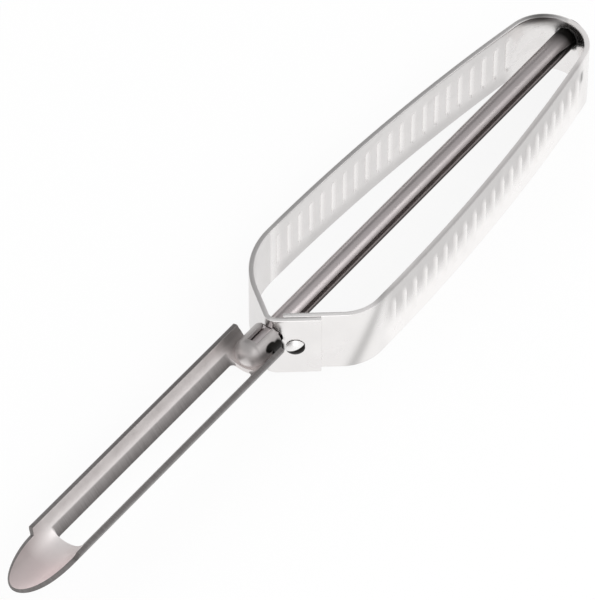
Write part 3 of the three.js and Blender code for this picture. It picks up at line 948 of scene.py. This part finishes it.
def shaft_steel():
    material, tree, shader, place = new_material("shaft_steel")
    worn = place_group(tree, handling, Place=place, Cloud_Scale=200.0, Scratch_Scale=400.0)
    lines = place_group(tree, drawn_lines, Place=place, Stretch=(30, 3000, 3000))["Lines"]
    run = add_node(tree, "ShaderNodeSeparateXYZ", {0: place}).outputs["X"]
    front = run_at(0)
    rear = run_at(BOW_FACE)
    # Painted shade: the shaft darker towards the rear, where its highlight dies away.
    rear_shade = remap(tree, run, front, rear, 0.0, 0.55)
    colour = mix_colour(tree, lines, (0.47, 0.43, 0.432, 1), (0.56, 0.515, 0.515, 1))
    colour = mix_colour(tree, rear_shade, colour, (0.36, 0.335, 0.33, 1))
    inside = attribute(tree, "inside")
    colour = mix_colour(tree, inside, colour, (0.55, 0.50, 0.49, 1))
    # Painted shade along the seam's lip.
    lip = attribute(tree, "lip")
    colour = mix_colour(tree, lip, colour, (0.07, 0.06, 0.058, 1))
    # Painted shadow spot on the shaft by the vertex.
    painted_shadow = painted_shadow_spots(tree, place, SHAFT_SHADOW_SPOTS)
    # Painted shadow on the shaft's end by the bow, mostly off the flare behind it.
    end_shadow = remap(tree, run, rear - BLACK_END_FROM * MM, rear - BLACK_END_FULL * MM, 0.0, 1.0)
    bare_flare = remap(tree, run, rear + BARE_FLARE_FROM * MM, rear + BARE_FLARE_FULL * MM, 1.0, 0.2)
    end_shadow = math_node(tree, "MULTIPLY", math_node(tree, "POWER", end_shadow, 1.6), bare_flare)
    painted_shadow = math_node(tree, "MAXIMUM", painted_shadow, end_shadow)
    colour = mix_colour(tree, painted_shadow, colour, PAINTED_SHADOW_COLOUR)
    tree.links.new(colour, shader.inputs["Base Color"])
    dull = math_node(tree, "MULTIPLY", math_node(tree, "MAXIMUM", painted_shadow, inside), 0.3)
    rough = math_node(tree, "ADD", remap(tree, worn["Cloud"], 0.3, 0.7, 0.24, 0.34), dull)
    tree.links.new(rough, shader.inputs["Roughness"])
    height = math_node(tree, "SUBTRACT", lines, math_node(tree, "MULTIPLY", worn["Scratches"], 0.4))
    add_bump(tree, shader, height, 0.2, 0.00005)
    shader.inputs["Metallic"].default_value = 1.0
    return material


def blade_steel():
    material, tree, shader, place = new_material("blade_steel")
    worn = place_group(tree, handling, Place=place, Cloud_Scale=220.0, Scratch_Scale=420.0)
    drawn = place_group(tree, drawn_lines, Place=place, Stretch=(40, 2600, 2600))["Lines"]
    ground = place_group(tree, drawn_lines, Place=place, Stretch=(4200, 150, 150))["Lines"]
    axes = add_node(tree, "ShaderNodeSeparateXYZ", {0: place}).outputs
    off_centre = math_node(tree, "ABSOLUTE", axes["Y"])
    reach = (SLOT_WIDTH / 2 + GROUND_WIDTH) * MM
    near = remap(tree, off_centre, reach + GROUND_SIDE_BLUR * MM, reach - GROUND_SIDE_BLUR * MM, 0.0, 1.0)
    slot_middle = run_at((SLOT_FROM + SLOT_TO) / 2)
    slot_reach = (SLOT_TO - SLOT_FROM) / 2 * MM
    off_middle = math_node(tree, "ABSOLUTE", math_node(tree, "SUBTRACT", axes["X"], slot_middle))
    beside = remap(tree, off_middle, slot_reach + GROUND_END_OVER * MM, slot_reach - GROUND_END_FADE * MM,
                   0.0, 1.0)
    edge = math_node(tree, "MULTIPLY", near, beside)
    colour = mix_colour(tree, worn["Cloud"], (0.80, 0.76, 0.75, 1), (0.90, 0.86, 0.85, 1))
    ground_colour = mix_colour(tree, ground, (0.38, 0.36, 0.355, 1), (0.54, 0.515, 0.51, 1))
    colour = mix_colour(tree, edge, colour, ground_colour)
    # Painted light and shade across the tip: pale on its right side, dark on its left.
    tip = remap(tree, axes["X"], run_at(SLOT_FROM), run_at(TIP_TONE_FULL), 0.0, 1.0)
    across = remap(tree, axes["Y"], TIP_PALE_SIDE * MM, TIP_DARK_SIDE * MM, 0.0, 1.0)
    tip_light_and_shade = mix_colour(tree, across, (0.94, 0.83, 0.825, 1), (0.47, 0.42, 0.415, 1))
    colour = mix_colour(tree, tip, colour, tip_light_and_shade)
    # Painted shade on the root: dark above, pale below.
    root = remap(tree, axes["X"], run_at(ROOT_TONE_FROM), run_at(ROOT_TONE_FULL), 0.0, 1.0)
    low = in_frame(Vector((0, 0, ROOT_PALE_HEIGHT))).z
    high = in_frame(Vector((0, 0, ROOT_DARK_HEIGHT))).z
    root_shade = remap(tree, axes["Z"], low, high, ROOT_PALE_SHARE, ROOT_DARK_SHARE)
    colour = mix_colour(tree, math_node(tree, "MULTIPLY", root, root_shade), colour, (0.27, 0.255, 0.25, 1))
    # Painted shade on the blade's edges, with grind lines in it.
    rim_shade_colour = mix_colour(tree, ground, (0.14, 0.13, 0.128, 1), (0.30, 0.285, 0.28, 1))
    colour = mix_colour(tree, attribute(tree, "rim"), colour, rim_shade_colour)
    # Painted shadow spots on the barrel's neck beside the front plate.
    painted_shadow = painted_shadow_spots(tree, place, BARREL_SHADOW_SPOTS)
    colour = mix_colour(tree, painted_shadow, colour, PAINTED_SHADOW_COLOUR)
    tree.links.new(colour, shader.inputs["Base Color"])
    soft = math_node(tree, "MULTIPLY", tip, 0.2)
    dull = math_node(tree, "ADD", math_node(tree, "MULTIPLY", edge, 0.14), soft)
    rough = math_node(tree, "ADD", remap(tree, worn["Cloud"], 0.3, 0.7, 0.38, 0.48), dull)
    tree.links.new(rough, shader.inputs["Roughness"])
    plain = math_node(tree, "SUBTRACT", drawn, math_node(tree, "MULTIPLY", worn["Scratches"], 0.4))
    height = add_node(tree, "ShaderNodeMix", {0: edge, 2: plain, 3: ground}, data_type="FLOAT").outputs[0]
    add_bump(tree, shader, height, 0.14, 0.00006)
    shader.inputs["Metallic"].default_value = 1.0
    return material


# Stage, light and camera

def seen_directly(tree):
    """1 for what the camera sees, straight or in a reflection."""
    path = tree.nodes.new("ShaderNodeLightPath").outputs
    straight = math_node(tree, "MAXIMUM", path["Is Camera Ray"], path["Is Glossy Ray"])
    return math_node(tree, "MAXIMUM", straight, path["Is Transmission Ray"])


FLOOR_SIZE = 8.0
FLOOR_DROP_BELOW = 0.0001
FLOOR_WHITENESS = 0.86


def make_floor():
    half = FLOOR_SIZE / 2
    mesh = bpy.data.meshes.new("floor")
    corners = [(-half, -half), (half, -half), (half, half), (-half, half)]
    mesh.from_pydata([(x, y, -FLOOR_DROP_BELOW) for x, y in corners], [], [(0, 1, 2, 3)])
    floor = bpy.data.objects.new("floor", mesh)
    bpy.context.scene.collection.objects.link(floor)
    material = bpy.data.materials.new("white_table")
    material.use_nodes = True
    tree = material.node_tree
    tree.nodes.clear()
    plain = add_node(tree, "ShaderNodeBsdfDiffuse", {"Color": (0.9, 0.9, 0.9, 1)})
    white = add_node(tree, "ShaderNodeEmission", {"Color": (1, 1, 1, 1), "Strength": 1.0})
    share = math_node(tree, "MULTIPLY", seen_directly(tree), FLOOR_WHITENESS)
    surface = add_node(tree, "ShaderNodeMixShader", {0: share, 1: plain.outputs[0], 2: white.outputs[0]})
    add_node(tree, "ShaderNodeOutputMaterial", {"Surface": surface.outputs[0]})
    mesh.materials.append(material)


# Heights, as the sine of the elevation, where the mirrored sky stops being white and is fully grey
SKY_WHITE_TO = 0.12
SKY_GREY_FROM = 0.7
PLAIN_SKY = 0.95


def make_world():
    """White round the horizon, grey overhead in what the steel mirrors, and a plain level for the rest."""
    world = bpy.data.worlds.new("studio")
    bpy.context.scene.world = world
    world.use_nodes = True
    tree = world.node_tree
    tree.nodes.clear()
    direction = tree.nodes.new("ShaderNodeTexCoord").outputs["Generated"]
    height = add_node(tree, "ShaderNodeSeparateXYZ", {0: direction}).outputs["Z"]
    ramp = add_node(tree, "ShaderNodeValToRGB", {0: height})
    stops = ramp.color_ramp.elements
    stops[0].position, stops[0].color = SKY_WHITE_TO, (1, 1, 1, 1)
    stops[1].position, stops[1].color = SKY_GREY_FROM, (0.7, 0.7, 0.705, 1)
    mirrored_sky = add_node(tree, "ShaderNodeBackground", {"Color": ramp.outputs[0], "Strength": 1.0})
    plain_sky = add_node(tree, "ShaderNodeBackground", {"Color": (1, 1, 1, 1), "Strength": PLAIN_SKY})
    surface = add_node(tree, "ShaderNodeMixShader", {
        0: seen_directly(tree), 1: plain_sky.outputs[0], 2: mirrored_sky.outputs[0]})
    add_node(tree, "ShaderNodeOutputWorld", {"Surface": surface.outputs[0]})


def make_softbox(name, direction, distance, width, height, brightness):
    """An area lamp that faces the peeler; brightness is what it shows in a mirror."""
    lamp = bpy.data.lights.new(name, "AREA")
    lamp.shape = "RECTANGLE"
    lamp.size = width
    lamp.size_y = height
    lamp.energy = brightness * math.pi * width * height
    softbox = bpy.data.objects.new(name, lamp)
    towards = Vector(direction).normalized()
    softbox.location = LIT_PLACE + towards * distance
    softbox.rotation_mode = "QUATERNION"
    softbox.rotation_quaternion = towards.to_track_quat("Z", "Y")
    bpy.context.scene.collection.objects.link(softbox)


LIT_PLACE = in_frame(flat(20, 0))

# The dark card over the peeler's left side, in millimetres of the frame
CARD_HEIGHT = 49.0
CARD_FRONT = -30.0
CARD_REAR = 125.0
CARD_RIGHT = 21.0
CARD_LEFT = 70.0
CARD_BRIGHTNESS = 0.36


def make_dark_card():
    """Darkens what the upward edges on the left mirror; neither the camera nor a shadow shows it."""
    mesh = bpy.data.meshes.new("dark_card")
    corners = [(CARD_FRONT, CARD_RIGHT), (CARD_REAR, CARD_RIGHT),
               (CARD_REAR, CARD_LEFT), (CARD_FRONT, CARD_LEFT)]
    mesh.from_pydata([Vector((x, y, CARD_HEIGHT)) * MM for x, y in corners], [], [(0, 1, 2, 3)])
    card = bpy.data.objects.new("dark_card", mesh)
    bpy.context.scene.collection.objects.link(card)
    material = bpy.data.materials.new("grey_card")
    material.use_nodes = True
    tree = material.node_tree
    tree.nodes.clear()
    grey = add_node(tree, "ShaderNodeEmission", {"Color": (1, 1, 1, 1), "Strength": CARD_BRIGHTNESS})
    add_node(tree, "ShaderNodeOutputMaterial", {"Surface": grey.outputs[0]})
    mesh.materials.append(material)
    card.visible_camera = False
    card.visible_diffuse = False
    card.visible_shadow = False


# The camera: where it looks from, and where the plates' meeting point lies in the image of 595 by 600 pixels
VIEW_AZIMUTH = math.radians(305.5)
VIEW_ELEVATION = math.radians(45.5)
VIEW_DISTANCE = 0.9
IMAGE_WIDTH = 595
IMAGE_HEIGHT = 600
PIXELS_PER_MM = 5.57
MEETING_PIXEL = (268.6, 336.2)
SENSOR = 36.0


def make_camera():
    right = Vector((math.cos(VIEW_AZIMUTH), math.sin(VIEW_AZIMUTH), 0))
    back = Vector((math.sin(VIEW_AZIMUTH) * math.cos(VIEW_ELEVATION),
                   -math.cos(VIEW_AZIMUTH) * math.cos(VIEW_ELEVATION), math.sin(VIEW_ELEVATION)))
    up = back.cross(right)
    off_right = (IMAGE_WIDTH / 2 - MEETING_PIXEL[0]) / PIXELS_PER_MM
    off_up = (MEETING_PIXEL[1] - IMAGE_HEIGHT / 2) / PIXELS_PER_MM
    aim = in_frame(right * off_right + up * off_up)
    lens = bpy.data.cameras.new("camera")
    lens.sensor_width = SENSOR
    lens.lens = SENSOR * VIEW_DISTANCE / MM / (IMAGE_HEIGHT / PIXELS_PER_MM)
    camera = bpy.data.objects.new("camera", lens)
    axes = Matrix((right, up, back)).transposed()
    camera.matrix_world = Matrix.Translation(aim + back * VIEW_DISTANCE) @ axes.to_4x4()
    bpy.context.scene.collection.objects.link(camera)
    bpy.context.scene.camera = camera


make_camera()
make_floor()
make_world()
make_softbox("rear_right_softbox", direction=(0.35, -0.62, 0.70), distance=0.6, width=0.5, height=0.2,
             brightness=1.3)
make_softbox("front_softbox", direction=(-0.62, -0.46, 0.55), distance=1.1, width=0.6, height=0.9,
             brightness=1.15)
make_dark_card()
make_handle_band(handle_steel())
make_lap_rivet(rivet_steel())
make_blade_shaft(shaft_steel())
make_blade(blade_steel())

bpy.context.scene.view_settings.view_transform = "Standard"
